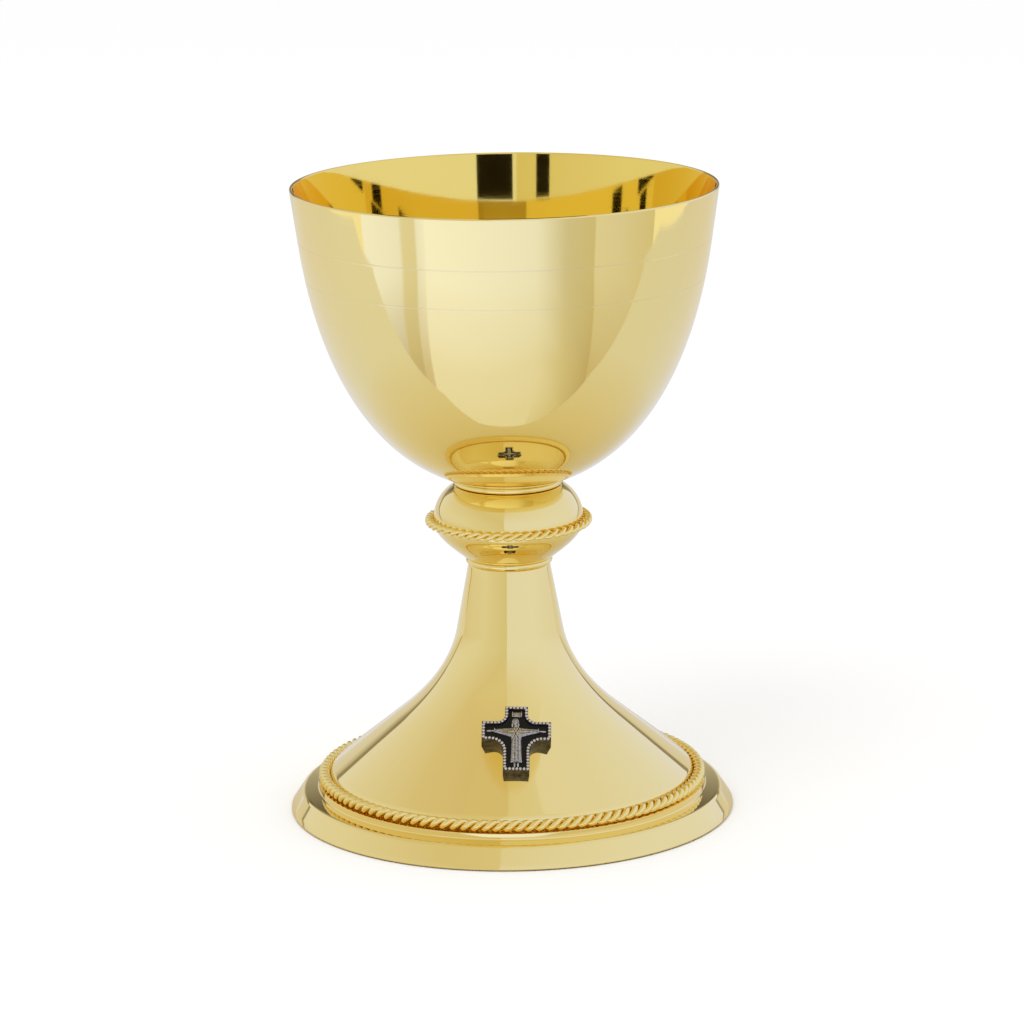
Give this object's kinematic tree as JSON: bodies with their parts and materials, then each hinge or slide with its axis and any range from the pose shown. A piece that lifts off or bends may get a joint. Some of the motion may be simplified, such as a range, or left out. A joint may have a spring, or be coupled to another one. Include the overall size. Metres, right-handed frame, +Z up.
{
  "type": "ciborium",
  "caption": "Open gilt altar cup on a trumpet foot, with rope mouldings at knop and foot, a silver cross on the front, and a bowl that unscrews from the stem.",
  "frame": {"origin": "on the table, under the middle of the foot", "axes": "+Z up the axis of the cup, -Y towards the side with the cross, +X to the right when facing the cross"},
  "size_m": [0.127, 0.127, 0.1799],
  "materials": {
    "gilt": "mirror polished gold plate",
    "brass": "turned, unplated",
    "steel": "zinc plated",
    "leather": "cut from sheet, smooth",
    "oxidised_silver": "darkened silver, satin",
    "niello": "black ground, semi matt",
    "silver": "cast and rubbed silver"
  },
  "bodies": {
    "stand": {"knop_upper": "gilt", "knop_lower": "gilt", "knop_bush": "brass", "knop_rope": "gilt", "stem_collar": "gilt", "stem": "gilt", "stem_bolt": "steel", "plain_washer": "steel", "spring_washer": "steel", "foot_ring": "gilt", "foot_rope": "gilt", "cross_body": "oxidised_silver", "cross_field": "niello", "cross_figure": "silver", "cross_plaque": "silver", "cross_pegs": "silver"},
    "washer": {"seat_washer": "leather"},
    "cup": {"cup": "gilt", "neck_ring": "gilt", "cup_stud": "brass"}
  },
  "joints": [
    {"name": "cup_lift", "type": "slide", "parent": "stand", "child": "washer", "axis": [0, 0, 1], "range_m": [0, 0.01]},
    {"name": "cup_turn", "type": "hinge", "parent": "washer", "child": "cup", "pos_m": [0, 0, 0.0943], "axis": [0, 0, 1], "range_deg": [0, 2880]}
  ],
  "couplings": [
    {"joint": "cup_lift", "follows": "cup_turn", "m_per_rad": 0.00019894}
  ]
}
